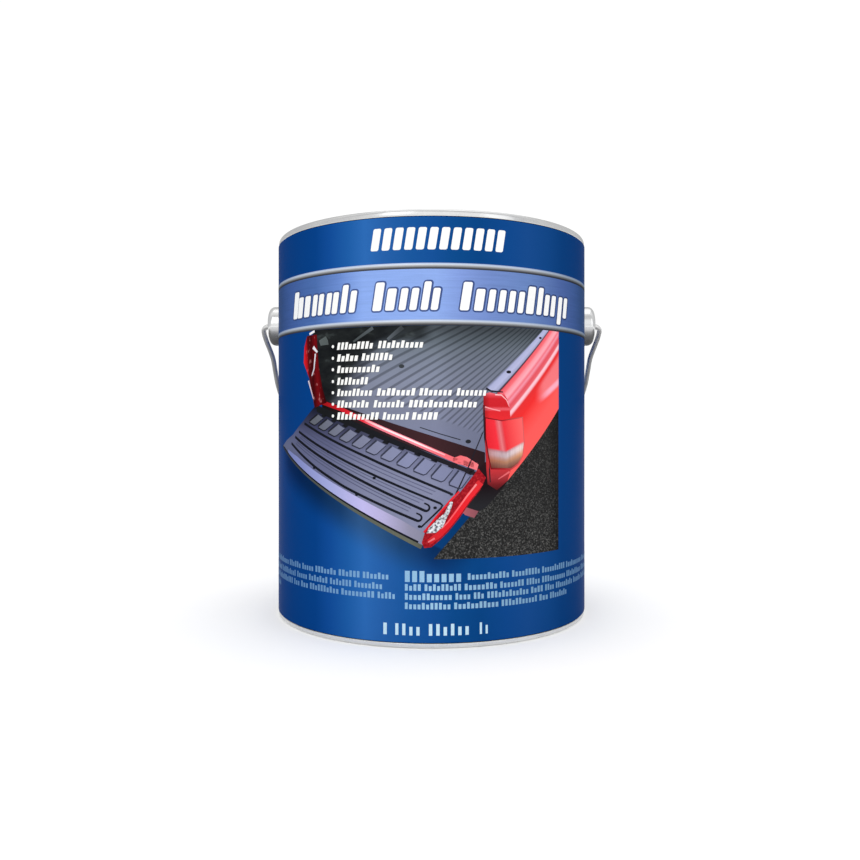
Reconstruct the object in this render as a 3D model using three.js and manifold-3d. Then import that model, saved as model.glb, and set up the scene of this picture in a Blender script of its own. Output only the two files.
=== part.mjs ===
// A round one-US-gallon steel can of truck bed lining coating: rolled body,
// seamed bottom end, seamed friction ring, plug lid, wrapped paper label,
// two pressed ears and a wire bail. Millimetres, +Z up. The origin is on the
// can's axis in the plane that the can stands on, and the label's front
// faces -Y. Every sheet-metal piece is a section line in (radius, height),
// thickened by the plate and turned about the axis.

import * as THREE from 'three';
import { mergeVertices } from 'three/addons/utils/BufferGeometryUtils.js';
import Module from 'manifold-3d';

const wasm = await Module();
wasm.setup();

// Driving dimensions.
const CAN_HEIGHT = 197;
const BODY_RADIUS = 82.5;
const PLATE = 0.3;
const HALF_PLATE = PLATE / 2;
const FACETS = 40;
const FACET_ANGLE = (2 * Math.PI) / FACETS;

// Label: a paper strip glued round the body, with its end lapped at the back.
const LABEL_PAPER = 0.15;
const LABEL_INNER_RADIUS = BODY_RADIUS + 0.1;
const LABEL_RADIUS = LABEL_INNER_RADIUS + LABEL_PAPER;
const LABEL_BOTTOM = 2.5;
const LABEL_TOP = 193.4;
const LABEL_LAP_START_FACET = 14;
const LABEL_LAP_FACETS = 2;
const LABEL_LAP_STEP = 0.25;

// Friction closure.
const MOUTH_RADIUS = 72.25;
const LID_CLEARANCE = 0.2;

// Ears and bail.
const PIVOT_HEIGHT = 153.6;
const EAR_RADIUS = 10.65;
const EAR_FACE = 88.7;
const EAR_PLATE = 0.5;
const EAR_HOLE_RADIUS = 1.9;
const EAR_FACETS = 24;
const EAR_GAP = 0.3;
const WIRE_RADIUS = 1.35;
const WIRE_SIDES = 8;
const BAIL_BEND_RADIUS = 3.6;
const BAIL_BEND_OUT = 92.9;
const BAIL_LEG_OUT = 90.2;
const BAIL_TAPER_END = 25;
const BAIL_LEG_END = 36;
const BAIL_REST_GAP = 0.3;
const BAIL_HEAD_RADIUS = 2.75;
const BAIL_HEAD_INNER = 85.4;
const BAIL_HEAD_OUTER = 87;

// Contents.
const COATING_RADIUS = 81.6;
const COATING_FLOOR = 6.1;
const COATING_SURFACE = 183;
const COATING_CORNER = { width: 1.6, height: 3.4 };

// ---------------------------------------------------------------- sections

const point = (radius, height) => new THREE.Vector2(radius, height);

// Points along an elliptical arc, angles in degrees from the +radius direction.
function arc(centre, radii, startDegrees, endDegrees, steps) {
  const points = [];
  for (let i = 0; i <= steps; i += 1) {
    const angle = THREE.MathUtils.degToRad(startDegrees + ((endDegrees - startDegrees) * i) / steps);
    points.push(point(centre[0] + radii[0] * Math.cos(angle), centre[1] + radii[1] * Math.sin(angle)));
  }
  return points;
}

const roundArc = (centre, radius, startDegrees, endDegrees, steps) =>
  arc(centre, [radius, radius], startDegrees, endDegrees, steps);

// A soft S from one point to another, upright at both ends.
function neck(from, to, steps = 3) {
  const points = [];
  for (let i = 0; i <= steps; i += 1) {
    const blend = (1 - Math.cos((Math.PI * i) / steps)) / 2;
    points.push(point(from[0] + (to[0] - from[0]) * blend, from[1] + ((to[1] - from[1]) * i) / steps));
  }
  return points;
}

// The closed outline of a sheet that follows a section line, mitred at its corners.
function sheetOutline(line, thickness = PLATE) {
  const left = [];
  const right = [];
  line.forEach((here, i) => {
    const into = new THREE.Vector2().subVectors(here, line[Math.max(i - 1, 0)]).normalize();
    const out = new THREE.Vector2().subVectors(line[Math.min(i + 1, line.length - 1)], here).normalize();
    const along = new THREE.Vector2().addVectors(into, out).normalize();
    const side = new THREE.Vector2(-along.y, along.x);
    const segment = out.lengthSq() > 0 ? out : into;
    const mitre = Math.max(side.dot(new THREE.Vector2(-segment.y, segment.x)), 0.5);
    const reach = thickness / 2 / mitre;
    left.push(here.clone().addScaledVector(side, reach));
    right.push(here.clone().addScaledVector(side, -reach));
  });
  return [...left, ...right.reverse()];
}

// ---------------------------------------------------------------- solids

// Welds a geometry, drops collapsed triangles and turns its faces outwards.
function weld(geometry) {
  const bare = geometry.clone();
  bare.deleteAttribute('normal');
  bare.deleteAttribute('uv');
  const welded = mergeVertices(bare, 1e-4);
  const position = welded.getAttribute('position');
  const corners = [];
  for (let i = 0; i < welded.index.count; i += 3) {
    const triangle = [0, 1, 2].map((k) => welded.index.getX(i + k));
    if (new Set(triangle).size === 3) {
      corners.push(triangle);
    }
  }
  const [a, b, c] = [new THREE.Vector3(), new THREE.Vector3(), new THREE.Vector3()];
  let volume = 0;
  corners.forEach((triangle) => {
    a.fromBufferAttribute(position, triangle[0]);
    b.fromBufferAttribute(position, triangle[1]);
    c.fromBufferAttribute(position, triangle[2]);
    volume += a.dot(b.cross(c)) / 6;
  });
  const ordered = volume < 0 ? corners.map((triangle) => [...triangle].reverse()) : corners;
  welded.setIndex(ordered.flat());
  return welded;
}

function toManifold(geometry) {
  const welded = weld(geometry);
  const vertProperties = new Float32Array(welded.getAttribute('position').array);
  const triVerts = new Uint32Array(welded.index.array);
  return new wasm.Manifold(new wasm.Mesh({ numProp: 3, vertProperties, triVerts }));
}

function toGeometry(manifold) {
  const mesh = manifold.getMesh();
  const geometry = new THREE.BufferGeometry();
  geometry.setAttribute('position', new THREE.BufferAttribute(new Float32Array(mesh.vertProperties), 3));
  geometry.setIndex(new THREE.BufferAttribute(new Uint32Array(mesh.triVerts), 1));
  return geometry;
}

// Turns an outline about +Z. An outline that leaves the axis is closed on itself.
function turned(outline, facets = FACETS) {
  const onAxis = outline[0].x === 0;
  const closed = onAxis ? outline : [...outline, outline[0]];
  return weld(new THREE.LatheGeometry(closed, facets).rotateX(Math.PI / 2));
}

const turnedSheet = (line, thickness) => turned(sheetOutline(line, thickness));

// A square-cornered ring, such as a line of sealing compound.
const turnedRing = ({ inner, outer, bottom, top }) =>
  turned([point(inner, bottom), point(outer, bottom), point(outer, top), point(inner, top)]);

// A cylinder along +X, centred on the pivot axis of the bail.
function cylinderAlongX(radius, from, to, facets) {
  const geometry = new THREE.CylinderGeometry(radius, radius, to - from, facets);
  return geometry.rotateZ(-Math.PI / 2).translate((from + to) / 2, 0, PIVOT_HEIGHT);
}

// ---------------------------------------------------------------- can body

// Both ends of the body are necked in and hooked, so that the seams end up
// flush with the label. Each hook is rolled over a lock in its end piece.
const hookSides = (hook) => [hook.centre[0] - hook.radius, hook.centre[0] + hook.radius];

function makeCanBody() {
  const wall = BODY_RADIUS - HALF_PLATE;
  const bottomHook = { centre: [81.625, 1.05], radius: 0.475, tip: 1.5 };
  const topHook = { centre: [81.475, 195.3], radius: 0.425, tip: 194.3 };
  const bottomNeck = { foot: 4.6, head: 8 };
  const topNeck = { foot: 189.3, head: 192.3 };
  const [bottomInner, bottomOuter] = hookSides(bottomHook);
  const [topInner, topOuter] = hookSides(topHook);
  const line = [
    point(bottomOuter, bottomHook.tip),
    ...roundArc(bottomHook.centre, bottomHook.radius, 0, -180, 2),
    ...neck([bottomInner, bottomNeck.foot], [wall, bottomNeck.head]),
    ...neck([wall, topNeck.foot], [topInner, topNeck.head]),
    ...roundArc(topHook.centre, topHook.radius, 180, 0, 2),
    point(topOuter, topHook.tip),
  ];
  const shell = toManifold(turnedSheet(line));
  // The two edges of the rolled blank lap on the inside, at the back.
  const lapWidth = 1.2;
  const lapDepth = 0.4;
  const lapHeight = 177;
  const lapWeld = 0.1;
  const lap = new THREE.BoxGeometry(lapWidth, lapDepth, lapHeight);
  lap.translate(0, BODY_RADIUS - PLATE - lapDepth / 2 + lapWeld, CAN_HEIGHT / 2);
  return toGeometry(shell.add(toManifold(lap)));
}

// ---------------------------------------------------------------- bottom end

// From the centre of the panel, over its stiffening bead, up and over the
// chuck wall, and out into the seam that the can stands on.
function makeBottomEnd() {
  const panel = 4.8;
  const bead = { inner: 52, outer: 67, slope: 1, rise: 0.7 };
  const chuckWall = { centre: [79.5, panel - 0.8], radius: 0.8 };
  const foot = { centre: [81.1, 0.95], radius: 0.8 };
  const seamCorner = { centre: [81.9, 0.75], radius: 0.6 };
  const lock = { centre: [82.1, 1.75], radius: 0.4, tip: 1.25 };
  const line = [
    point(0, panel),
    point(bead.inner, panel),
    point(bead.inner + bead.slope, panel + bead.rise),
    point(bead.outer - bead.slope, panel + bead.rise),
    point(bead.outer, panel),
    ...roundArc(chuckWall.centre, chuckWall.radius, 90, 0, 1),
    ...roundArc(foot.centre, foot.radius, 180, 270, 2),
    ...roundArc(seamCorner.centre, seamCorner.radius, -90, 0, 2),
    ...roundArc(lock.centre, lock.radius, 0, 180, 2),
    point(lock.centre[0] - lock.radius, lock.tip),
  ];
  return turnedSheet(line);
}

const BOTTOM_COMPOUND = { inner: 80.56, outer: 80.88, bottom: 0.9, top: 3.6 };

// ---------------------------------------------------------------- top ring

const MOUTH_WALL = MOUTH_RADIUS + HALF_PLATE;
const MOUTH_BEAD = { centre: [MOUTH_WALL + 1.4, 192.8], radius: 1.4 };

// From the hook in the seam, over the rim, down into the channel, over the
// mouth bead and under into the rolled edge of the mouth.
function makeTopRing() {
  const rim = CAN_HEIGHT - HALF_PLATE;
  const lock = { centre: [81.9, 194.1], radius: 0.4, tip: 195.2 };
  const outerArch = { centre: [81, 195.2], width: 1.3 };
  const innerArch = { centre: [81, 195.9], width: 0.85 };
  const channel = { outer: 79.15, inner: 76.2, height: 190, radius: 1 };
  const mouthCurl = { height: 190.5, radius: 0.9 };
  const line = [
    point(lock.centre[0] - lock.radius, lock.tip),
    ...roundArc(lock.centre, lock.radius, 180, 360, 2),
    ...arc(outerArch.centre, [outerArch.width, rim - outerArch.centre[1]], 0, 90, 3),
    ...arc(innerArch.centre, [innerArch.width, rim - innerArch.centre[1]], 120, 180, 1),
    ...roundArc([channel.outer, channel.height], channel.radius, 0, -90, 1),
    ...roundArc([channel.inner, channel.height], channel.radius, -90, -180, 1),
    ...roundArc(MOUTH_BEAD.centre, MOUTH_BEAD.radius, 0, 180, 4),
    ...roundArc([MOUTH_WALL + mouthCurl.radius, mouthCurl.height], mouthCurl.radius, 180, 360, 2),
  ];
  return turnedSheet(line);
}

const TOP_COMPOUND = { inner: 80.42, outer: 80.8, bottom: 191.6, top: 195.5 };

// ---------------------------------------------------------------- lid

// The lid's edge curls into the ring's channel, its shoulder arches over the
// mouth bead, and its plug wall drops into the mouth and turns up to the panel.
function makeLid() {
  const panel = 191.5;
  const bead = { inner: 46, outer: 50, slope: 0.9, rise: 0.6 };
  const step = { radius: 62, width: 1, drop: 0.8 };
  const groove = { wall: 3.2, floor: 186.5, radius: 1.6, corner: 1 };
  const edgeCurl = { height: 191.8, radius: 0.9 };
  const shoulder = MOUTH_BEAD.radius + PLATE + LID_CLEARANCE;
  const plugWall = MOUTH_BEAD.centre[0] - shoulder;
  const skirt = MOUTH_BEAD.centre[0] + shoulder;
  const grooveWall = plugWall - groove.wall;
  const line = [
    point(0, panel),
    point(bead.inner, panel),
    point(bead.inner + bead.slope, panel + bead.rise),
    point(bead.outer - bead.slope, panel + bead.rise),
    point(bead.outer, panel),
    point(step.radius, panel),
    point(step.radius + step.width, panel - step.drop),
    ...roundArc([grooveWall - groove.corner, panel - step.drop - groove.corner], groove.corner, 90, 0, 1),
    ...roundArc([plugWall - groove.radius, groove.floor], groove.radius, -180, 0, 4),
    ...roundArc(MOUTH_BEAD.centre, shoulder, 180, 0, 4),
    ...roundArc([skirt + edgeCurl.radius, edgeCurl.height], edgeCurl.radius, 180, 420, 3),
  ];
  return turnedSheet(line);
}

// ---------------------------------------------------------------- label

// One strip from the lap's inner end round to its outer end, which rides
// over the inner one. Its corners line up with the body's facets.
function makeLabel() {
  const outer = [];
  const inner = [];
  for (let i = 0; i <= FACETS + LABEL_LAP_FACETS; i += 1) {
    const angle = (LABEL_LAP_START_FACET + i) * FACET_ANGLE;
    const lift = i >= FACETS ? LABEL_LAP_STEP : 0;
    const direction = new THREE.Vector2(Math.cos(angle), Math.sin(angle));
    inner.push(direction.clone().multiplyScalar(LABEL_INNER_RADIUS + lift));
    outer.push(direction.clone().multiplyScalar(LABEL_RADIUS + lift));
  }
  const strip = new THREE.Shape([...outer, ...inner.reverse()]);
  const geometry = new THREE.ExtrudeGeometry(strip, { depth: LABEL_TOP - LABEL_BOTTOM, bevelEnabled: false });
  const earMargin = 0.6;
  const cutter = LABEL_RADIUS + LABEL_LAP_STEP + 10;
  const earHole = cylinderAlongX(EAR_RADIUS + earMargin, -cutter, cutter, EAR_FACETS);
  return toGeometry(toManifold(geometry.translate(0, 0, LABEL_BOTTOM)).subtract(toManifold(earHole)));
}

// ---------------------------------------------------------------- ears

// A pressed cup, open towards the can, with a dished face round its hole and
// a rim cut to sit on the round body. It is made for +X and turned for -X.
function makeEar(side) {
  const wall = EAR_RADIUS - EAR_PLATE / 2;
  const face = EAR_FACE - EAR_PLATE / 2;
  const shoulder = 3;
  const dish = 0.4;
  const dishRadius = 4.6;
  const dishSlope = 0.6;
  const insideBody = BODY_RADIUS - 2.5;
  const line = [
    point(wall, insideBody),
    ...roundArc([wall - shoulder, face - shoulder], shoulder, 0, 90, 3),
    point(dishRadius, face),
    point(dishRadius - dishSlope, face - dish),
    point(EAR_HOLE_RADIUS, face - dish),
  ];
  const cup = turned(sheetOutline(line, EAR_PLATE), EAR_FACETS);
  cup.rotateY(Math.PI / 2).translate(0, 0, PIVOT_HEIGHT);
  const bodyClearance = new THREE.CylinderGeometry(
    BODY_RADIUS + EAR_GAP,
    BODY_RADIUS + EAR_GAP,
    CAN_HEIGHT,
    FACETS,
  );
  bodyClearance.rotateX(Math.PI / 2).translate(0, 0, CAN_HEIGHT / 2);
  const ear = toGeometry(toManifold(cup).subtract(toManifold(bodyClearance)));
  return side > 0 ? ear : ear.rotateZ(Math.PI);
}

// ---------------------------------------------------------------- bail

// The bail lies in a plane through the pivot axis. A place in that plane is
// (across, away): across along X, away from the axis, towards the back and
// down, to where the wire's lowest point meets the back of the label.
const BAIL_REACH = BAIL_LEG_END + BAIL_LEG_OUT;
const BAIL_BACK = LABEL_RADIUS + BAIL_REST_GAP + WIRE_RADIUS;
const BAIL_HANG_ANGLE = Math.asin(BAIL_BACK / BAIL_REACH);

function bailPlace(across, away) {
  return new THREE.Vector3(
    across,
    away * Math.sin(BAIL_HANG_ANGLE),
    PIVOT_HEIGHT - away * Math.cos(BAIL_HANG_ANGLE),
  );
}

function wireAlong(places, steps) {
  const section = new THREE.Shape();
  for (let i = 0; i < WIRE_SIDES; i += 1) {
    const angle = ((i + 0.5) * 2 * Math.PI) / WIRE_SIDES;
    const [x, y] = [WIRE_RADIUS * Math.cos(angle), WIRE_RADIUS * Math.sin(angle)];
    if (i === 0) {
      section.moveTo(x, y);
    } else {
      section.lineTo(x, y);
    }
  }
  section.closePath();
  const path = new THREE.CatmullRomCurve3(places, false, 'centripetal');
  return new THREE.ExtrudeGeometry(section, { steps, extrudePath: path, bevelEnabled: false });
}

// The pivot end: a straight length through the ear and the bend into the leg.
function makeBailHook(side) {
  const bendStart = BAIL_BEND_OUT - BAIL_BEND_RADIUS;
  const insideHead = BAIL_HEAD_OUTER - 0.5;
  const straight = 1;
  const legOverlap = 1.5;
  const places = [bailPlace(side * insideHead, 0), bailPlace(side * (bendStart - straight), 0)];
  const bendSteps = 6;
  for (let i = 0; i <= bendSteps; i += 1) {
    const angle = (i * Math.PI) / 2 / bendSteps;
    const across = bendStart + BAIL_BEND_RADIUS * Math.sin(angle);
    places.push(bailPlace(side * across, BAIL_BEND_RADIUS * (1 - Math.cos(angle))));
  }
  places.push(bailPlace(side * BAIL_BEND_OUT, BAIL_BEND_RADIUS + legOverlap));
  return wireAlong(places, 9);
}

// Both legs and the half circle between them, as one length of wire.
function makeBailLoop() {
  const leg = [
    [BAIL_BEND_OUT, BAIL_BEND_RADIUS],
    [BAIL_BEND_OUT, BAIL_BEND_RADIUS + 2],
    [(BAIL_BEND_OUT + BAIL_LEG_OUT) / 2, (BAIL_BEND_RADIUS + BAIL_TAPER_END) / 2],
    [BAIL_LEG_OUT, BAIL_TAPER_END],
  ];
  const places = leg.map(([across, away]) => bailPlace(across, away));
  const bowSteps = 16;
  for (let i = 0; i <= bowSteps; i += 1) {
    const angle = (i * Math.PI) / bowSteps;
    places.push(bailPlace(BAIL_LEG_OUT * Math.cos(angle), BAIL_LEG_END + BAIL_LEG_OUT * Math.sin(angle)));
  }
  places.push(...leg.reverse().map(([across, away]) => bailPlace(-across, away)));
  return wireAlong(places, 64);
}

function makeBail() {
  let bail = toManifold(makeBailLoop());
  [1, -1].forEach((side) => {
    const ends = [side * BAIL_HEAD_INNER, side * BAIL_HEAD_OUTER].sort((a, b) => a - b);
    const head = cylinderAlongX(BAIL_HEAD_RADIUS, ends[0], ends[1], 12);
    bail = bail.add(toManifold(makeBailHook(side))).add(toManifold(head));
  });
  return toGeometry(bail);
}

// ---------------------------------------------------------------- coating

function makeCoating() {
  return turned([
    point(0, COATING_FLOOR),
    point(COATING_RADIUS - COATING_CORNER.width, COATING_FLOOR),
    point(COATING_RADIUS, COATING_FLOOR + COATING_CORNER.height),
    point(COATING_RADIUS, COATING_SURFACE),
    point(0, COATING_SURFACE),
  ]);
}

// ---------------------------------------------------------------- assembly

const tinplate = { color: 0xc6c7c6, roughness: 0.28, metalness: 1 };
const compound = { color: 0x8d7f63, roughness: 0.7, metalness: 0 };
const finishes = {
  body_tinplate: tinplate,
  end_tinplate: tinplate,
  ring_tinplate: tinplate,
  lid_tinplate: tinplate,
  ear_tinplate: { color: 0xd2d1cc, roughness: 0.22, metalness: 1 },
  bail_wire: { color: 0x9a9b9c, roughness: 0.35, metalness: 1 },
  printed_label: { color: 0x0b4587, roughness: 0.3, metalness: 0 },
  seam_compound: compound,
  coating: { color: 0x141414, roughness: 0.45, metalness: 0 },
};
const materials = Object.fromEntries(
  Object.entries(finishes).map(([name, finish]) => [name, new THREE.MeshStandardMaterial(finish)]),
);

const model = new THREE.Group();

function place(name, geometry, material) {
  const mesh = new THREE.Mesh(geometry, materials[material]);
  mesh.name = name;
  model.add(mesh);
}

place('can_body', makeCanBody(), 'body_tinplate');
place('bottom_end', makeBottomEnd(), 'end_tinplate');
place('bottom_seam_compound', turnedRing(BOTTOM_COMPOUND), 'seam_compound');
place('top_ring', makeTopRing(), 'ring_tinplate');
place('top_seam_compound', turnedRing(TOP_COMPOUND), 'seam_compound');
place('lid_plug', makeLid(), 'lid_tinplate');
place('label_wrap', makeLabel(), 'printed_label');
place('ear_right', makeEar(1), 'ear_tinplate');
place('ear_left', makeEar(-1), 'ear_tinplate');
place('bail_wire', makeBail(), 'bail_wire');
place('coating_fill', makeCoating(), 'coating');

export default model;
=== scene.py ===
"""A gallon can of truck bed liner coating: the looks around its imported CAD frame.

Lengths are in millimetres until mesh_object() writes them in metres. The can's axis is Z,
the label's front faces -Y and the bail hangs at the back.
"""

import math
import random

import bmesh
import bpy
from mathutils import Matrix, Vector
from mathutils.geometry import tessellate_polygon


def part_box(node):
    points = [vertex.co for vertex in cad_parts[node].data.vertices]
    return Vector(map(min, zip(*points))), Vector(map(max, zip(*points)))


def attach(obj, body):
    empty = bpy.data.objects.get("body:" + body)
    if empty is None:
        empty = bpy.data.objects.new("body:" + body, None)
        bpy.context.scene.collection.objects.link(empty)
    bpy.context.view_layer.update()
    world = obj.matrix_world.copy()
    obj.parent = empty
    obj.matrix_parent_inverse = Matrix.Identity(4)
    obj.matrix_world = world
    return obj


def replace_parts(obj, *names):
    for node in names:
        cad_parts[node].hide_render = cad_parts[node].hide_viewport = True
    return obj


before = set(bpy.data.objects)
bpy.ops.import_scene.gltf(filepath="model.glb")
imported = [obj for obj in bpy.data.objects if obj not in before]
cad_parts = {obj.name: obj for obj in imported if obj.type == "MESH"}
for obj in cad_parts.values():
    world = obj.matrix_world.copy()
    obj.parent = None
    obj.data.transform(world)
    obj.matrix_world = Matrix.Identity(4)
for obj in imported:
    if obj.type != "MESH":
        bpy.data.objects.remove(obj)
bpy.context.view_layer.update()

MM = 0.001


def box_mm(node):
    """A CAD node's lowest and highest corners, in millimetres."""
    low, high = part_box(node)
    return low / MM, high / MM


# ------------------------------------------------------------------ sizes from the frame

CAN_TOP = box_mm("top_ring")[1].z
BODY_R = box_mm("can_body")[1].x
LABEL_R = box_mm("label_wrap")[1].x
LABEL_BOTTOM = box_mm("label_wrap")[0].z
LABEL_TOP = box_mm("label_wrap")[1].z
EAR_FACE = box_mm("ear_right")[1].x
EAR_R = box_mm("ear_right")[1].y
PIVOT_Z = (box_mm("ear_right")[0].z + box_mm("ear_right")[1].z) / 2
COATING_TOP = box_mm("coating_fill")[1].z
COATING_R = box_mm("coating_fill")[1].x
BAIL_OUT = box_mm("bail_wire")[1].x

PLATE = 0.3
ROUND = 240  # sides of every turned piece of the can


# ------------------------------------------------------------------ meshes

def linked(name, data):
    """An object made from its data, linked into the scene."""
    thing = bpy.data.objects.new(name, data)
    bpy.context.scene.collection.objects.link(thing)
    return thing


def circle(radius, sides, height=0.0):
    """Points round the Z axis, as (x, y, z)."""
    angles = [2 * math.pi * i / sides for i in range(sides)]
    return [(radius * math.cos(a), radius * math.sin(a), height) for a in angles]


def joined(low, high):
    """Faces between two rings of point numbers, leaving out corners that fall together."""
    faces = []
    for i in range(len(low)):
        j = (i + 1) % len(low)
        faces.append(list(dict.fromkeys((low[i], low[j], high[j], high[i]))))
    return [face for face in faces if len(face) > 2]


def rings(count, sides, first=0):
    """Point numbers of rings that were made one after another."""
    return [range(first + k * sides, first + (k + 1) * sides) for k in range(count)]


def mesh_object(name, points, faces, body, material, replaced=(), crease=32):
    """One smooth-shaded piece from points in millimetres, riding on a CAD body."""
    mesh = bpy.data.meshes.new(name)
    mesh.from_pydata([Vector(p) * MM for p in points], [], faces)
    shape = bmesh.new()
    shape.from_mesh(mesh)
    bmesh.ops.remove_doubles(shape, verts=shape.verts, dist=1e-8)
    bmesh.ops.recalc_face_normals(shape, faces=shape.faces)
    limit = math.radians(crease)
    for face in shape.faces:
        face.smooth = True
    for edge in shape.edges:
        edge.smooth = len(edge.link_faces) == 2 and edge.calc_face_angle() < limit
    shape.to_mesh(mesh)
    shape.free()
    piece = linked(name, mesh)
    mesh.materials.append(material)
    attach(piece, body)
    if replaced:
        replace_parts(piece, *replaced)
    return piece


def arc(centre, radii, start, end, steps):
    """Points along an elliptical arc in (radius, height), angles in degrees."""
    points = []
    for i in range(steps + 1):
        angle = math.radians(start + (end - start) * i / steps)
        points.append((centre[0] + radii[0] * math.cos(angle),
                       centre[1] + radii[1] * math.sin(angle)))
    return points


def bend(centre, radius, start, end, steps=8):
    return arc(centre, (radius, radius), start, end, steps)


def between(a, b, share, rise=None):
    """The place a share of the way from a to b; its second number may take a share of its own."""
    rise = share if rise is None else rise
    return (a[0] + (b[0] - a[0]) * share, a[1] + (b[1] - a[1]) * rise)


def eased(share):
    """A share from 0 to 1 that starts and stops softly, as half a cosine wave."""
    return (1 - math.cos(math.pi * share)) / 2


def smoothed(share):
    """A share from 0 to 1 that starts and stops softly, as a cubic."""
    return share * share * (3 - 2 * share)


def neck(start, end, steps=10):
    """A soft S between two points, upright at both ends."""
    return [between(start, end, eased(i / steps), i / steps) for i in range(steps + 1)]


def ledge(start, end, steps=6):
    """A soft S between two points, flat at both ends, without its first point."""
    return [between(start, end, i / steps, eased(i / steps)) for i in range(1, steps + 1)]


def sheet_outline(line, thickness=PLATE):
    """The closed outline of a sheet that follows a section line, mitred at its corners."""
    left, right = [], []
    for i, here in enumerate(line):
        here = Vector(here)
        into = (here - Vector(line[max(i - 1, 0)])).normalized()
        out = (Vector(line[min(i + 1, len(line) - 1)]) - here).normalized()
        along = (into + out).normalized()
        side = Vector((-along.y, along.x))
        segment = out if out.length > 0 else into
        mitre = max(side.dot(Vector((-segment.y, segment.x))), 0.5)
        reach = thickness / 2 / mitre
        left.append(here + side * reach)
        right.append(here - side * reach)
    return left + right[::-1]


def on_axis(radius):
    return abs(radius) < 1e-6


def turned(outline, sides=ROUND):
    """Points and faces of an outline turned about Z; an outline may start and end on the axis."""
    points, faces, turns = [], [], []
    for radius, height in outline:
        if on_axis(radius):
            turns.append([len(points)] * sides)
            points.append((0, 0, height))
        else:
            turns += rings(1, sides, len(points))
            points += circle(radius, sides, height)
    after = turns[1:] if on_axis(outline[0][0]) else turns[1:] + turns[:1]
    for low, high in zip(turns, after):
        faces += joined(low, high)
    return points, faces


def turned_sheet(name, line, body, material, replaced=()):
    points, faces = turned(sheet_outline(line))
    return mesh_object(name, points, faces, body, material, replaced)


# ------------------------------------------------------------------ material helpers

def new_material(name):
    """A material, short calls for its nodes, and a function that sets its shader's inputs."""
    material = bpy.data.materials.new(name)
    material.use_nodes = True
    n = Nodes(material.node_tree)
    shader = material.node_tree.nodes["Principled BSDF"]

    def surface(**values):
        for key, value in values.items():
            n.put(value, shader.inputs[SHADER_INPUTS.get(key, key.capitalize())])

    return material, n, surface


SHADER_INPUTS = {"colour": "Base Color", "specular": "Specular IOR Level",
                 "glow": "Emission Color", "glow_strength": "Emission Strength"}


class Nodes:
    """Short calls for building one node tree."""

    def __init__(self, tree):
        self.tree = tree

    def add(self, kind, **settings):
        node = self.tree.nodes.new("ShaderNode" + kind)
        for key, value in settings.items():
            setattr(node, key, value)
        return node

    def join(self, output, socket):
        self.tree.links.new(output, socket)

    def put(self, value, socket):
        """Feeds a socket from another node's output, or sets it to a constant."""
        if isinstance(value, bpy.types.NodeSocket):
            self.join(value, socket)
        elif value is not None:
            socket.default_value = value

    def fed(self, kind, **values):
        """A node with its inputs given by name."""
        node = self.add(kind)
        for key, value in values.items():
            self.put(value, node.inputs[key])
        return node

    def math(self, operation, a, b=None, c=None):
        node = self.add("Math", operation=operation)
        for value, socket in zip((a, b, c), node.inputs):
            self.put(value, socket)
        return node.outputs[0]

    def times(self, a, b):
        return self.math("MULTIPLY", a, b)

    def plus(self, a, b):
        return self.math("ADD", a, b)

    def minus(self, a, b):
        return self.math("SUBTRACT", a, b)

    def length(self, x, y):
        node = self.add("VectorMath", operation="LENGTH")
        self.join(self.combine(x, y, 0.0), node.inputs[0])
        return node.outputs["Value"]

    def object_place(self):
        return self.add("TexCoord").outputs["Object"]

    def split(self, vector):
        node = self.add("SeparateXYZ")
        self.join(vector, node.inputs[0])
        return node.outputs

    def combine(self, x, y, z):
        node = self.add("CombineXYZ")
        for value, socket in zip((x, y, z), node.inputs):
            self.put(value, socket)
        return node.outputs[0]

    def noise(self, vector, scale, detail=4.0, roughness=0.5, distortion=0.0):
        return self.fed("TexNoise", Vector=vector, Scale=scale, Detail=detail, Roughness=roughness,
                        Distortion=distortion).outputs["Fac"]

    def cells(self, vector, scale):
        """A random value from 0 to 1 for each cell of a Voronoi pattern."""
        return self.split(self.fed("TexVoronoi", Vector=vector, Scale=scale).outputs["Color"])[0]

    def ramp(self, factor, stops):
        node = self.add("ValToRGB")
        self.join(factor, node.inputs[0])
        ramp = node.color_ramp
        while len(ramp.elements) < len(stops):
            ramp.elements.new(0.5)
        for element, (place, colour) in zip(ramp.elements, stops):
            element.position = place
            element.color = colour if len(colour) == 4 else (*colour, 1)
        return node.outputs["Color"]

    def span(self, value, low, high, to_low=0.0, to_high=1.0, smooth=False):
        node = self.add("MapRange", interpolation_type="SMOOTHSTEP" if smooth else "LINEAR")
        for given, socket in zip((value, low, high, to_low, to_high), node.inputs):
            self.put(given, socket)
        return node.outputs[0]

    def mix(self, factor, a, b, blend="MIX"):
        node = self.add("Mix", data_type="RGBA", blend_type=blend)
        self.put(factor, node.inputs["Factor"])
        for value, socket in ((a, node.inputs["A"]), (b, node.inputs["B"])):
            self.put((*value, 1) if isinstance(value, tuple) and len(value) == 3 else value, socket)
        return node.outputs["Result"]

    def tinted(self, a, b):
        """One colour multiplied by another."""
        return self.mix(1.0, a, b, "MULTIPLY")

    def shaded(self, colour, share):
        """A colour multiplied by a plain value."""
        return self.tinted(colour, self.combine(share, share, share))

    def bump(self, height, strength, distance):
        return self.fed("Bump", Height=height, Strength=strength,
                        Distance=distance).outputs["Normal"]


def rgb(colour):
    """A display colour, as 0xrrggbb, as the linear colour that nodes take."""
    linear = []
    for value in colour.to_bytes(3, "big"):
        share = value / 255
        linear.append(share / 12.92 if share <= 0.04045 else ((share + 0.055) / 1.055) ** 2.4)
    return (*linear, 1)


# ------------------------------------------------------------------ metal

def plain(level):
    """A grey, as a colour."""
    return (level, level, level)


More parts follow.
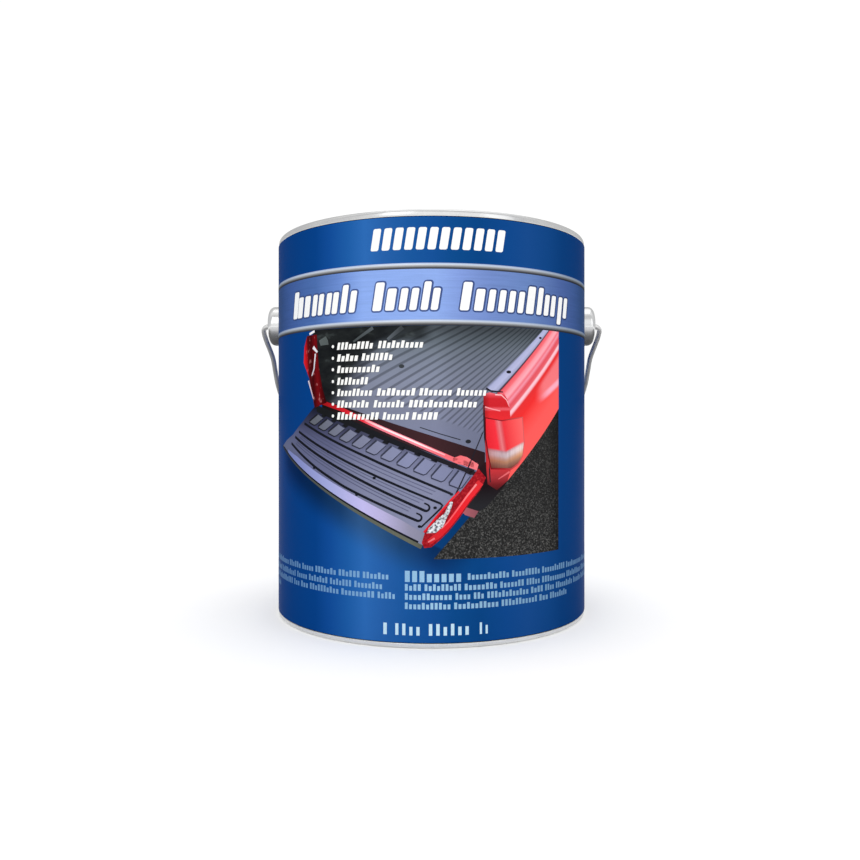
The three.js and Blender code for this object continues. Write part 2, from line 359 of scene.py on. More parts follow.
def tinplate(name, bright=0.78, rough=0.22, around=True):
    """Bright tinned sheet: rolling or pressing lines, cloudy tin and small scuffs."""
    material, n, surface = new_material(name)
    place = n.object_place()
    x, y, z = n.split(place)
    grain = n.noise(n.combine(n.length(x, y), z, 0.0) if around else place, 2600.0, 2.0, 0.6)
    cloud = n.noise(place, 55.0, 5.0, 0.62)
    scuff = n.span(n.noise(place, 420.0, 3.0, 0.7), 0.62, 0.72, smooth=True)
    tin = n.ramp(cloud, [(0.3, (bright * 0.86, bright * 0.87, bright * 0.88)),
                         (0.7, (bright, bright, bright * 0.985))])
    polish = n.span(n.plus(cloud, n.times(grain, 0.5)), 0.4, 1.1, rough * 0.75, rough * 1.35)
    height = n.plus(n.times(grain, 0.4), n.times(cloud, 0.8))
    surface(colour=n.mix(n.times(scuff, 0.25), tin, plain(bright * 0.6)), metallic=1.0,
            roughness=n.plus(polish, n.times(scuff, 0.12)), normal=n.bump(height, 0.12, 0.0002))
    return material


def drawn_wire(name):
    """Plain drawn wire: fine die marks and a slightly dull, uneven tin."""
    material, n, surface = new_material(name)
    place = n.object_place()
    cloud = n.noise(place, 140.0, 4.0, 0.6)
    surface(colour=n.ramp(cloud, [(0.32, plain(0.68)), (0.68, (0.82, 0.82, 0.81))]), metallic=0.72,
            roughness=n.span(cloud, 0.3, 0.7, 0.28, 0.42),
            normal=n.bump(n.noise(place, 2200.0, 2.0, 0.5), 0.15, 0.0001))
    return material


def compound_material():
    material, n, surface = new_material("seam_compound_rubber")
    tone = n.noise(n.object_place(), 600.0, 4.0, 0.6)
    surface(colour=n.ramp(tone, [(0.3, (0.24, 0.19, 0.12)), (0.7, (0.36, 0.30, 0.20))]),
            roughness=n.span(tone, 0.3, 0.7, 0.6, 0.8), normal=n.bump(tone, 0.3, 0.0002))
    return material


def coating_material():
    """Wet black coating with rubber grit just under its skin."""
    material, n, surface = new_material("wet_black_coating")
    place = n.object_place()
    grit = n.noise(place, 900.0, 3.0, 0.65)
    swirl = n.noise(place, 22.0, 4.0, 0.5, 1.4)
    surface(colour=n.ramp(swirl, [(0.3, (0.004, 0.004, 0.0045)), (0.7, (0.012, 0.012, 0.013))]),
            roughness=n.span(grit, 0.35, 0.7, 0.10, 0.3), specular=0.35,
            normal=n.bump(n.plus(grit, n.times(swirl, 2.0)), 0.5, 0.0006))
    return material


# ------------------------------------------------------------------ the can's metal pieces

def make_body(material):
    wall = BODY_R - PLATE / 2
    line = [(82.1, 1.5), *bend((81.625, 1.05), 0.475, 0, -180), *neck((81.15, 4.6), (wall, 8)),
            *neck((wall, 189.3), (81.05, 192.3)), *bend((81.475, 195.3), 0.425, 180, 0),
            (81.9, 194.3)]
    return turned_sheet("body_shell", line, "can", material, ["can_body"])


def make_bottom(material):
    panel = 4.8
    line = [(0, panel), (50.6, panel), *ledge((50.6, panel), (53, panel + 0.7)),
            *ledge((66, panel + 0.7), (68.4, panel)),
            *bend((79.3, panel - 1.0), 1.0, 90, 0), *bend((81.1, 0.95), 0.8, 180, 270),
            *bend((81.9, 0.75), 0.6, -90, 0), *bend((82.1, 1.75), 0.4, 0, 180), (81.7, 1.25)]
    return turned_sheet("bottom_pan", line, "can", material, ["bottom_end"])


MOUTH_WALL = 72.4
BEAD_CENTRE = MOUTH_WALL + 1.4


def make_ring(material):
    rim = CAN_TOP - PLATE / 2
    line = [(81.5, 195.2), *bend((81.9, 194.1), 0.4, 180, 360),
            *arc((81, 195.2), (1.3, rim - 195.2), 0, 90, 10),
            *arc((81, 195.9), (0.85, rim - 195.9), 100, 180, 8),
            *bend((79.15, 190), 1, 0, -90), *bend((76.2, 190), 1, -90, -180),
            *bend((BEAD_CENTRE, 192.8), 1.4, 0, 180, 14),
            *bend((MOUTH_WALL + 0.9, 190.5), 0.9, 180, 400, 14)]
    return turned_sheet("friction_ring", line, "can", material, ["top_ring"])


def make_lid(material):
    panel = 191.5
    shoulder = 1.4 + PLATE + 0.2
    plug = BEAD_CENTRE - shoulder
    line = [(0, panel), (45.4, panel), *ledge((45.4, panel), (47.4, panel + 0.6)),
            *ledge((48.6, panel + 0.6), (50.6, panel)), (61.2, panel),
            *ledge((61.2, panel), (63.6, panel - 0.8)),
            *bend((plug - 4.2, panel - 1.8), 1, 90, 0), *bend((plug - 1.6, 186.5), 1.6, -180, 0, 14),
            *bend((BEAD_CENTRE, 192.8), shoulder, 180, 0, 14),
            *bend((BEAD_CENTRE + shoulder + 0.9, 191.8), 0.9, 180, 450, 16)]
    return turned_sheet("pressed_lid", line, "lid", material, ["lid_plug"])


def make_ear(name, node, side, material):
    """A pressed cup on the side of the body: turned about X, its rim fitted to the round body."""
    plate = 0.5
    wall = EAR_R - plate / 2
    face = EAR_FACE - plate / 2
    shoulder = 3.0
    line = [(wall, 80), (wall, face - shoulder - 0.6),
            *bend((wall - shoulder, face - shoulder), shoulder, 0, 90, 12),
            *ledge((5.2, face), (4.0, face - 0.4)), (1.9, face - 0.4)]
    outline = sheet_outline(line, plate)
    sides = 96
    seat = BODY_R + 0.02
    points, faces = [], []
    for radius, out in outline:
        for y, z, _ in circle(radius, sides):
            points.append((side * max(out, math.sqrt(seat ** 2 - y ** 2)), y, PIVOT_Z + z))
    turns = rings(len(outline), sides)
    for low, high in zip(turns, turns[1:] + turns[:1]):
        faces += joined(low, high)
    return mesh_object(name, points, faces, "can", material, [node])


# ------------------------------------------------------------------ bail

WIRE_R = 1.35
BEND_R = 3.6
BEND_OUT = BAIL_OUT - WIRE_R
LEG_OUT = BEND_OUT - 2.7
TAPER_END = 25
LEG_END = 36
HEAD_R = 2.75
HEAD_FROM = 85.4
HEAD_TO = 87.0
HANG = math.asin((LABEL_R + 0.3 + WIRE_R) / (LEG_END + LEG_OUT))


def bail_path():
    """Half of the bail's centreline, as (across, away) in its plane, from its head to its bottom."""
    start = BEND_OUT - BEND_R
    head = (HEAD_FROM, HEAD_FROM + 0.25, HEAD_TO - 0.2, HEAD_TO, HEAD_TO + 0.35, start)
    path = [(across, 0) for across in head] + bend((start, BEND_R), BEND_R, -90, 0, 12)[1:]
    steps = 16
    for i in range(1, steps + 1):
        share = i / steps
        path.append(between((BEND_OUT, BEND_R), (LEG_OUT, TAPER_END), smoothed(share), share))
    return path + bend((0, LEG_END), LEG_OUT, 0, 90, 60)


def wire_radius(index):
    """The wire's radius at a place on the path: the upset head first, then the plain wire."""
    return {0: HEAD_R - 0.35, 1: HEAD_R, 2: HEAD_R, 3: HEAD_R - 0.2}.get(index, WIRE_R)


def make_bail(material):
    half = bail_path()
    radii = [wire_radius(i) for i in range(len(half))]
    path = half + [(-a, s) for a, s in half[-2::-1]]
    radii = radii + radii[-2::-1]
    away = Vector((0, math.sin(HANG), -math.cos(HANG)))
    normal = Vector((0, math.cos(HANG), math.sin(HANG)))
    pivot = Vector((0, 0, PIVOT_Z))
    across = Vector((1, 0, 0))
    sides = 24
    points, faces = [], []
    for i, (a, s) in enumerate(path):
        before, after = path[max(i - 1, 0)], path[min(i + 1, len(path) - 1)]
        along = (across * (after[0] - before[0]) + away * (after[1] - before[1])).normalized()
        side = along.cross(normal)
        centre = pivot + across * a + away * s
        points += [centre + side * x + normal * y for x, y, _ in circle(radii[i], sides)]
    turns = rings(len(path), sides)
    for low, high in zip(turns, turns[1:]):
        faces += joined(low, high)
    faces += [tuple(turns[0]), tuple(turns[-1])]
    return mesh_object("bail", points, faces, "bail", material, ["bail_wire"],
                       crease=50)


# ------------------------------------------------------------------ coating

def make_coating(material):
    """The contents: a still surface with slow swells, drawn up a little where it meets the wall."""
    wave = random.Random(11)
    swells = [(wave.uniform(0.02, 0.07), wave.uniform(0, 6.28),
               wave.uniform(0, 6.28)) for _ in range(7)]
    sides, waves = 120, 40
    floor = box_mm("coating_fill")[0].z
    edge = COATING_R + 0.4

    def level(radius, x, y):
        swell = sum(0.10 * math.sin(f * (x * math.cos(d) + y * math.sin(d)) + p) for f, d,
                    p in swells)
        meniscus = 0.9 * math.exp((radius - edge) / 1.6)
        return COATING_TOP - 0.6 + swell + meniscus

    points = [(0, 0, level(0, 0, 0))]
    for k in range(1, waves + 1):
        radius = edge * (1 - (1 - k / waves) ** 1.4)
        points += [(x, y, level(radius, x, y)) for x, y, _ in circle(radius, sides)]
    points += circle(edge, sides, 9.5) + circle(80.0, sides, floor)
    turns = [[0] * sides, *rings(waves + 2, sides, 1)]
    faces = [tuple(turns[-1])]
    for low, high in zip(turns, turns[1:]):
        faces += joined(low, high)
    return mesh_object("coating", points, faces, "can", material, ["coating_fill"],
                       crease=60)


# ------------------------------------------------------------------ label

PAPER = 0.15
LAP_ANGLE = math.radians(126)  # where the strip starts, seen from above, from +X
LAP_WIDTH = math.radians(18)
LAP_STEP = 0.25
SLICE = 2.4  # the longest flat step round the can
INK_SHARE = 0.92  # how much of its named colour the print gives back under the lights
INK_ROUGH = 0.34
LEVEL = 0.025  # how far each printed layer stands above the one under it


def label_point(u, v, out):
    """A place on the label: u round from the front's middle, v up, out from its outer face."""
    angle = u / LABEL_R - math.pi / 2
    radius = LABEL_R + out
    return (radius * math.cos(angle), radius * math.sin(angle), v)


def sliced(loops, step=SLICE):
    """Triangles of an outline with holes, cut into upright slices no wider than step."""
    flat = [[Vector((u, v, 0)) for u, v in loop] for loop in loops]
    corners = [p for loop in flat for p in loop]
    shape = bmesh.new()
    verts = [shape.verts.new(p) for p in corners]
    for triangle in tessellate_polygon(flat):
        if len(set(triangle)) == 3:
            shape.faces.new([verts[i] for i in triangle])
    low = min(p.x for p in corners)
    high = max(p.x for p in corners)
    cut = math.floor(low / step) + 1
    while cut * step < high - 1e-4:
        everything = shape.verts[:] + shape.edges[:] + shape.faces[:]
        bmesh.ops.bisect_plane(shape, geom=everything, dist=1e-5, plane_co=(cut * step, 0, 0),
                               plane_no=(1, 0, 0))
        cut += 1
    bmesh.ops.remove_doubles(shape, verts=shape.verts, dist=1e-5)
    bmesh.ops.recalc_face_normals(shape, faces=shape.faces)
    shape.verts.index_update()
    points = [(p.co.x, p.co.y) for p in shape.verts]
    faces = []
    for face in shape.faces:
        ring = [p.index for p in face.verts]
        faces.append(ring if face.normal.z > 0 else ring[::-1])
    shape.free()
    return points, faces


class Print:
    """One printed layer on the label: its outlines gathered into one thin closed piece."""

    def __init__(self, name, level, material):
        self.name, self.material = name, material
        self.top = LEVEL * level
        self.places, self.faces = [], []

    def add(self, outline, *holes):
        points, faces = sliced([outline, *holes])
        base = len(self.places)
        self.places += points
        self.faces += [[base + i for i in face] for face in faces]
        return self

    def finish(self, depth=0.02, radius=None):
        """Wraps the layer round the can, closes it with a back and edges, and makes the piece."""
        count = len(self.places)
        lift = radius or (lambda u: 0.0)
        front = [label_point(u, v, lift(u) + self.top) for u, v in self.places]
        back = [label_point(u, v, lift(u) + self.top - depth) for u, v in self.places]
        edges = {}
        for face in self.faces:
            edges.update(dict.fromkeys(zip(face, face[1:] + face[:1])))
        rim = [(a, b) for a, b in edges if (b, a) not in edges]
        faces = [tuple(f) for f in self.faces]
        faces += [tuple(i + count for i in f[::-1]) for f in self.faces]
        faces += [(b, a, a + count, b + count) for a, b in rim]
        mesh = bpy.data.meshes.new(self.name)
        mesh.from_pydata([Vector(p) * MM for p in front + back], [], faces)
        mesh.polygons.foreach_set("use_smooth", [True] * len(mesh.polygons))
        normals = [Vector((x, y, 0)).normalized() for x, y, _ in front]
        normals += [-Vector((x, y, 0)).normalized() for x, y, _ in back]
        mesh.normals_split_custom_set_from_vertices(normals)
        art = mesh.attributes.new("art", "FLOAT_VECTOR", "POINT")
        flat = [value for u, v in self.places * 2 for value in (u, v, 0.0)]
        art.data.foreach_set("vector", flat)
        mesh.materials.append(self.material)
        piece = linked(self.name, mesh)
        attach(piece, "can")
        return piece


def printed(name, level, material, *outlines):
    """A printed layer made of plain outlines."""
    layer = Print(name, level, material)
    for outline in outlines:
        layer.add(outline)
    layer.finish()


def art_place(n):
    """The (u, v) place on the label, in millimetres."""
    node = n.add("Attribute", attribute_name="art", attribute_type="GEOMETRY")
    return node.outputs["Vector"]


def ink(name, colour, spots=0.03):
    """Printed ink under varnish: a plain colour, or one built from the place by colour(n, u, v)."""
    material, n, surface = new_material(name)
    place = art_place(n)
    u, v, _ = n.split(place)
    tint = colour(n, u, v) if callable(colour) else colour
    mottle = n.noise(place, 1.9, 3.0, 0.6)
    shade = n.span(mottle, 0.25, 0.75, INK_SHARE - spots, INK_SHARE + spots)
    grain = n.noise(place, 9.0, 2.0, 0.5)
    surface(colour=n.shaded(tint, shade), specular=0.002, normal=n.bump(grain, 0.08, 0.0001),
            roughness=n.span(grain, 0.3, 0.7, INK_ROUGH * 0.85, INK_ROUGH * 1.15))
    return material


def toned(name, axis, stops, spots=0.03):
    """Ink whose colour follows u or v through stops in millimetres."""
    return ink(name, lambda n, u, v: tones(n, u if axis == "u" else v, stops), spots)


def tones(n, value, stops):
    """A colour that follows a value through its stops, each of them value: display colour."""
    low, high = min(stops), max(stops)
    places = [((stop - low) / (high - low), rgb(colour)) for stop, colour in stops.items()]
    return n.ramp(n.span(value, low, high), places)


def beyond(n, u, v, a, b):
    """How far a place lies to the right of the line from a to b, in millimetres."""
    du, dv = b[0] - a[0], b[1] - a[1]
    length = math.hypot(du, dv)
    over = n.times(n.minus(u, a[0]), dv / length)
    return n.math("MULTIPLY_ADD", n.minus(v, a[1]), -du / length, over)


def ground_and_painted_light(n, u, v):
    """Deep blue with a soft upright painted highlight left of the middle and painted shade towards
    the sides, and the parked tailgate's shadow falling across it.
    """
    # Painted light: these stops give a soft upright highlight round u = -31 and painted shade
    # towards the sides.
    blue = tones(n, u, {-150: 0x042e68, -100: 0x053573, -80: 0x04397a, -60: 0x063e83, -50: 0x114a94,
                        -40: 0x1d5aa2, -31: 0x2c68b1, -22: 0x265ea5, -10: 0x1a559a, 0: 0x164f95,
                        10: 0x0e4989, 22: 0x0b4381, 35: 0x104689, 47: 0x174889, 60: 0x114381,
                        72: 0x083a75, 90: 0x06356f, 150: 0x042e68})
    below = beyond(n, u, v, (-94.6, 88.6), (-4.2, 45.9))
    under = n.times(n.span(below, -3.0, -2.0), n.span(u, -98.0, -84.0, smooth=True))
    under = n.times(under, n.span(u, 22.0, 0.0, smooth=True))
    under = n.times(under, n.span(below, 2.0, 17.0, 1.0, 0.0, smooth=True))
    shadow = tones(n, u, {-90: 0x032658, -73: 0x03224e, -57: 0x092850, -44: 0x183a65, -33: 0x2f5584,
                          -24: 0x2c517d, -14: 0x1e426d, 0: 0x10386e, 22: 0x0a3a76})
    blue = n.mix(under, blue, shadow)
    from_corner = n.length(n.minus(u, 9.0), n.minus(v, 52.0))
    corner = n.span(from_corner, 8.0, 20.0, 0.62, 1.0, smooth=True)
    return n.shaded(blue, corner)


def band_and_painted_light(n, u, v):
    """Periwinkle with a painted highlight left of the middle and painted shade towards the sides,
    with faint brushed streaks along it.
    """
    streaks = n.noise(n.combine(n.times(u, 0.05), n.times(v, 1.1), 0.0), 1.0, 3.0, 0.6)
    # Painted light: these stops give a highlight from u = -32 to 2 and painted shade towards the
    # sides.
    blue = tones(n, u, {-130: 0x243a64, -98: 0x2a4678, -80: 0x3e5a96, -60: 0x4a6ba8, -45: 0x6888ca,
                        -32: 0x8baaea, 2: 0x8face9, 14: 0x7f98d6, 28: 0x718ac5, 48: 0x6783ba,
                        70: 0x4b639d, 84: 0x3c568c, 98: 0x2a4674, 130: 0x243a64})
    shade = n.span(streaks, 0.3, 0.7, 0.93, 1.07)
    return n.shaded(blue, shade)


def stripe_and_painted_shade(n, u, v):
    """A pinstripe like a bright rod: light along its top, shaded underneath, with painted shade
    dimming it towards the sides.
    """
    height = n.minus(v, n.span(v, 158.0, 158.1, STRIPE_LOW, STRIPE_HIGH))
    rod = tones(n, height, {-1.4: 0x2c2e34, -0.7: 0x5c5c60, 0.1: 0xb0b2b4, 0.6: 0xdae2ee,
                            1.1: 0xbeceec, 1.4: 0x96aad7})
    # Painted shade: the stripe darkens away from u = -12 as the can turns from the light.
    side_shade = tones(n, n.math("ABSOLUTE", n.plus(u, 12.0)),
                {0: 0xffffff, 60: 0xd7dade, 90: 0xa5acb4, 130: 0x828c96})
    return n.tinted(rod, side_shade)


# ------------------------------------------------------------------ outlines for the artwork

def stroke(line, width, end_width=None):
    """The outline of a pen stroke along a line of points, which may thin towards its end."""
    left, right = [], []
    for i, here in enumerate(line):
        before, after = line[max(i - 1, 0)], line[min(i + 1, len(line) - 1)]
        du, dv = after[0] - before[0], after[1] - before[1]
        length = math.hypot(du, dv)
        share = i / (len(line) - 1)
        half = (width + ((width if end_width is None else end_width) - width) * share) / 2
        left.append((here[0] - dv / length * half, here[1] + du / length * half))
        right.append((here[0] + dv / length * half, here[1] - du / length * half))
    return left + right[::-1]


def hooked(line, radius, back):
    """A line that turns round to its left at its end and comes back a little way."""
    before, near = line[-2], line[-1]
    length = math.dist(before, near)
    du, dv = (near[0] - before[0]) / length, (near[1] - before[1]) / length
    centre = (near[0] - dv * radius, near[1] + du * radius)
    steps = 6
    for i in range(steps + 1):
        angle = math.pi * i / steps
        over, up = radius * math.sin(angle), -radius * math.cos(angle)
        line = line + [(centre[0] + du * over - dv * up, centre[1] + dv * over + du * up)]
    return line + [(line[-1][0] - du * back, line[-1][1] - dv * back)]


def block(low, high, left, right, slant=0.2, corner=0.0, grow=0.0):
    """A leaning block standing on the line v = low, its corners rounded, grown if asked."""
    low, high, left, right = low - grow, high + grow, left - grow, right + grow
    corner = min(corner + grow, (right - left) / 2.01, (high - low) / 2.01)
    corners = [(right - corner, high - corner, 0), (left + corner, high - corner, 90),
               (left + corner, low + corner, 180), (right - corner, low + corner, 270)]
    outline = []
    for u, v, start in corners:
        for i in range(4 if corner > 0.3 else 1):
            angle = math.radians(start + 30 * i + (0 if corner > 0.3 else 45))
            outline.append((u + corner * math.cos(angle), v + corner * math.sin(angle)))
    return [(u + slant * (v - low), v) for u, v in outline]


def oval(u, v, across, up, sides):
    """An oval spot round (u, v)."""
    turns = [2 * math.pi * i / sides for i in range(sides)]
    return [(u + across * math.cos(a), v + up * math.sin(a)) for a in turns]


def oblong(left, low, right, high):
    return [(left, low), (right, low), (right, high), (left, high)]


def words(layer, low, tall, spans, seed, letter=0.66, gap=0.22, slant=0.2):
    """Blocks that stand in for words of small print: uneven letters, some taller than others."""
    chance = random.Random(seed)
    for start, end in spans:
        count = max(1, round((end - start) / (tall * letter)))
        pitch = (end - start) / count
        for i in range(count):
            left = start + i * pitch
            height = tall * chance.choice((0.74, 0.74, 0.74, 1.0, 1.0)) if i else tall
            layer.add(block(low, low + height, left, left + pitch - tall * gap, slant))


def spread(start, end, seed, mean=14.0, space=1.1):
    """Word spans that fill a line of print."""
    chance = random.Random(seed)
    spans, at = [], start
    while at < end - 2:
        to = min(at + mean * chance.uniform(0.35, 1.6), end)
        spans.append((at, to))
        at = to + space
    return spans


# ------------------------------------------------------------------ the label's sheet and bands

STRIPE_HIGH = 171.3
STRIPE_LOW = 146.0
STRIPE_HALF = 1.35
QUARTER = LABEL_R * math.pi / 2
EAR_HOLE = EAR_R + 0.6
LAP_START = (LAP_ANGLE - 3 * math.pi / 2) * LABEL_R
LAP_FROM = LAP_START + 2 * math.pi * LABEL_R
LAP_END = LAP_FROM + LAP_WIDTH * LABEL_R
BAND_LEFT = LAP_START + LAP_WIDTH * LABEL_R + 0.3
BAND_RIGHT = LAP_END - 0.05


def lap_lift(u):
    """How far the strip's outer end is lifted where it climbs over its inner end."""
    climb = 1.6
    share = min(max((u - (LAP_FROM - climb)) / climb, 0), 1)
    return LAP_STEP * smoothed(share)


def round_ear(middle, start, end, steps):
    """Part of the hole that the label has round an ear, angles in degrees."""
    points = []
    for i in range(steps + 1):
        angle = math.radians(start + (end - start) * i / steps)
        across = LABEL_R * math.asin(EAR_HOLE * math.cos(angle) / LABEL_R)
        points.append((middle + across, PIVOT_Z + EAR_HOLE * math.sin(angle)))
    return points


def ribbon(low, high):
    """A band right round the visible strip, notched where it meets the holes round the ears."""
    dip = math.degrees(math.asin((low - PIVOT_Z) / EAR_HOLE))
    bottom = [(BAND_LEFT, low)]
    for middle in (-QUARTER, QUARTER):
        bottom += round_ear(middle, 180 - dip, dip, 24)
    return bottom + [(BAND_RIGHT, low), (BAND_RIGHT, high), (BAND_LEFT, high)]


def make_sheet():
    holes = [round_ear(middle, 0, 352.5, 47) for middle in (-QUARTER, QUARTER)]
    sheet = Print("label_sheet", 0, ink("label_ground", ground_and_painted_light))
    sheet.add(oblong(LAP_START, LABEL_BOTTOM, LAP_END, LABEL_TOP), *holes)
    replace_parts(sheet.finish(depth=PAPER, radius=lap_lift), "label_wrap")


def make_bands():
    band = Print("title_band", 1, ink("band_ink", band_and_painted_light))
    band.add(ribbon(STRIPE_LOW + 0.4, STRIPE_HIGH - 0.4))
    band.finish(radius=lap_lift)
    stripes = Print("pinstripes", 2, ink("stripe_ink", stripe_and_painted_shade))
    low, high = STRIPE_HIGH - STRIPE_HALF, STRIPE_HIGH + STRIPE_HALF
    stripes.add(oblong(BAND_LEFT, low, BAND_RIGHT, high))
    low, high = STRIPE_LOW - STRIPE_HALF, STRIPE_LOW + STRIPE_HALF
    reach = LABEL_R * math.asin(math.sqrt(EAR_HOLE ** 2 - (low - PIVOT_Z) ** 2 * 0.5) / LABEL_R)
    ends = (BAND_LEFT, -QUARTER - reach, -QUARTER + reach, QUARTER - reach, QUARTER + reach,
            BAND_RIGHT)
    for start, end in zip(ends[::2], ends[1::2]):
        stripes.add(oblong(start, low, end, high))
    stripes.finish(radius=lap_lift)


# ------------------------------------------------------------------ the label's picture

# The open pickup bed is drawn flat: its floor runs up to the right, the lowered tailgate
# hangs to the lower left, and a patch of the dried coating lies under the bed's side.

FAR = (108.0, 191.0)  # where the ribs of the bed's floor would meet
# the tailgate's left, near, right and far corners
GATE = [(-94.6, 89.0), (-4.2, 45.9), (21.2, 79.9), (-58.9, 107.7)]


def gate_place(along, across):
    """A place on the tailgate: along from left to right, across from its lip to its hinge."""
    return between(between(GATE[0], GATE[1], along), between(GATE[3], GATE[2], along), across)


def pocket_spans():
    """Where each pocket along the tailgate's hinge starts and ends: the near ones are wider."""
    first, reach, count = 0.07, 0.88, 11
    for i in range(count):
        share = i / (count - 1)
        middle = first + reach * share * (0.88 + 0.12 * share)
        half = 0.36 * reach / (count - 1) * (0.88 + 0.24 * share)
        yield middle - half, middle + half


def patch_colours(n, u, v):
    """Dried coating seen close up: black rubber grains, coarser and lighter towards the bottom."""
    place = n.combine(u, v, 0.0)
    grains = n.cells(place, 1.9)
    fine = n.noise(place, 1.6, 2.0, 0.6)
    light = n.times(n.math("POWER", grains, 2.2), n.span(v, 105.0, 42.0, 0.45, 1.0))
    light = n.plus(n.times(light, 0.75), n.times(fine, 0.35))
    grey = tones(n, light, {0.05: 0x1a1a1a, 0.35: 0x2f2f2f, 0.7: 0x4c4c4b, 1.1: 0x72716f})
    edge = tones(n, u, {60: 0xffffff, 68.6: 0xaaaaaa})
    return n.tinted(grey, edge)


def slope_from_far(n, u, v):
    """The steepness of the line from a place to where the ribs would meet."""
    return n.math("DIVIDE", n.minus(FAR[1], v), n.minus(FAR[0], u))


def floor_colours(n, u, v):
    """The bed's lined floor: near black against the far side and the front, with fanned ribs."""
    grey = tones(n, v, {96: 0x787d96, 112: 0x787d90, 120: 0x7a8093, 128: 0x727989, 134: 0x68707c,
                        139: 0x545c64, 143: 0x42484e})
    share = n.ramp(n.span(u, -40.0, 45.0), [((at + 40) / 85, plain(light)) for at, light in (
        (-40, 0.66), (-30, 0.80), (-20, 0.87), (2, 0.90), (10, 0.77), (20, 0.70), (30, 0.71),
        (45, 0.76))])
    grey = n.tinted(n.tinted(grey, share), plain(1.25))
    wave = n.math("SINE", n.times(slope_from_far(n, u, v), 190.0))
    rib = n.span(wave, -0.95, -0.1, 0.6, 1.1, smooth=True)
    inside = n.span(beyond(n, u, v, (-40, 117), (24, 94.6)), 0.0, -2.0, smooth=True)
    rib = n.math("MULTIPLY_ADD", n.minus(rib, 1.0), inside, 1.0)
    shaded = n.shaded(grey, rib)
    wall = n.span(beyond(n, u, v, (-47, 107), (-17, 144)), -7.0, 6.0, smooth=True)
    front = n.times(n.span(v, 136.0, 140.0, smooth=True), n.span(u, 2.0, -6.0, smooth=True))
    wall = n.times(wall, n.math("MULTIPLY_ADD", front, -0.8, 1.0))
    blotch = n.noise(n.combine(n.times(u, 0.5), v, 0.0), 0.16, 3.0, 0.6)
    dark = tones(n, blotch, {0.35: 0x141619, 0.6: 0x222526, 0.72: 0x3e4444})
    return n.mix(wall, dark, shaded)


def gate_colours(n, u, v):
    """The tailgate's lining: lavender grey, lightest in the middle by the lip, dark at the hinge."""
    down = beyond(n, u, v, GATE[3], GATE[2])
    grey = tones(n, u, {-90: 0x5c627e, -70: 0x606484, -50: 0x686c8c, -30: 0x8084a0, 0: 0x868aa6,
                        18: 0x767a98})
    hinge = tones(n, n.math("MULTIPLY_ADD", u, 0.16, down),
                  {-10: 0x464852, -2: 0x9696a0, 4: 0xe1e1e8, 12: 0xffffff})
    return n.tinted(grey, hinge)


def lip_colours(n, u, v):
    return tones(n, u, {-88: 0x707cb0, -70: 0x848cc2, -50: 0xa0a6d8, -32: 0xc0baea, -22: 0xb8b1da,
                        -10: 0x9290a8, 0: 0x848496})


def side_colours(n, u, v):
    """The red bed side: pale under the rail, with a bright crease and a flare over the wheel."""
    down = beyond(n, u, v, (33.4, 115.4), (61.4, 144.2))
    red = tones(n, down, {-1.4: 0xcd303a, -0.4: 0xec606a, 0.9: 0xf6707a, 1.8: 0xfc96a0,
                          3.4: 0xffacb8, 4.6: 0xf07684, 5.6: 0xf496a8, 7.0: 0xe25460, 8.6: 0xe8626c,
                          9.4: 0xffcdd8, 10.2: 0xfabeca, 11.2: 0xe43436, 15.0: 0xf03232,
                          19.0: 0xf84c4a, 24.0: 0xfc5c5a, 34.0: 0xfa605c})
    flare = n.times(n.span(u, 51.0, 58.0, smooth=True), n.span(down, 12.0, 14.0))
    flare = n.times(flare, n.span(beyond(n, u, v, (54, 111.5), (68.6, 120.5)), 1.5, -1.5,
                                  smooth=True))
    pale = n.mix(n.times(flare, 0.85), red, rgb(0xf68086))
    arch = n.math("ABSOLUTE", beyond(n, u, v, (54, 111.5), (68.6, 120.5)))
    streak = n.times(n.span(arch, 2.2, 0.4, smooth=True), n.span(u, 53.0, 62.0, smooth=True))
    return n.mix(n.times(streak, 0.8), pale, rgb(0xfcbad0))


def corner_colours(n, u, v):
    """The bed's rear corner, rounding away from red to a dark foot."""
    red = tones(n, v, {70: 0x3c1a1c, 73: 0x742025, 76: 0xa63238, 80: 0xc8363c, 100: 0xee3036,
                       106.2: 0xde2c32, 107.2: 0xec626c, 108.4: 0xce262e, 112.0: 0xd02830,
                       113.4: 0xe24650, 114.5: 0xf06e7a})
    edge = tones(n, u, {23.6: 0xbebebe, 27: 0xffffff, 45: 0xffffff})
    return n.tinted(red, edge)


def lamp_colours(n, u, v):
    """The tail lamp's lens: red with a pink prism, then a clear dipping strip, over amber."""
    lean = n.math("MULTIPLY_ADD", n.minus(v, 93.0), 0.17, u)
    red = tones(n, lean, {25: 0xe42632, 30.4: 0xf43440, 31.6: 0xe26068, 32.6: 0xe87c82,
                          33.8: 0xde545c, 34.8: 0xec363e, 40: 0xf85456, 45: 0xfc6868})
    strip = n.plus(n.span(u, 25.0, 35.0, 89.4, 87.8), n.span(u, 35.0, 44.0, 0.0, 4.0))
    under = n.minus(v, strip)
    low = tones(n, under, {-9.0: 0x7e3e36, -6.5: 0xa87c68, -4.8: 0xd49e7a, -3.6: 0xdeb8a6,
                           -2.4: 0xe8d8d8, -1.2: 0xecdadc, 0.0: 0xdcaab0})
    across = tones(n, u, {25: 0xcd9696, 30: 0xd6bec4, 36: 0xded8de, 40: 0xf4ecec, 44: 0xfff6f0})
    streak = n.span(n.noise(n.combine(u, n.times(v, 0.12), 0.0), 0.8, 2.0, 0.6), 0.3, 0.7, 0.84, 1.1)
    low = n.shaded(n.tinted(low, across), streak)
    return n.mix(n.span(under, -0.3, 0.6), low, red)


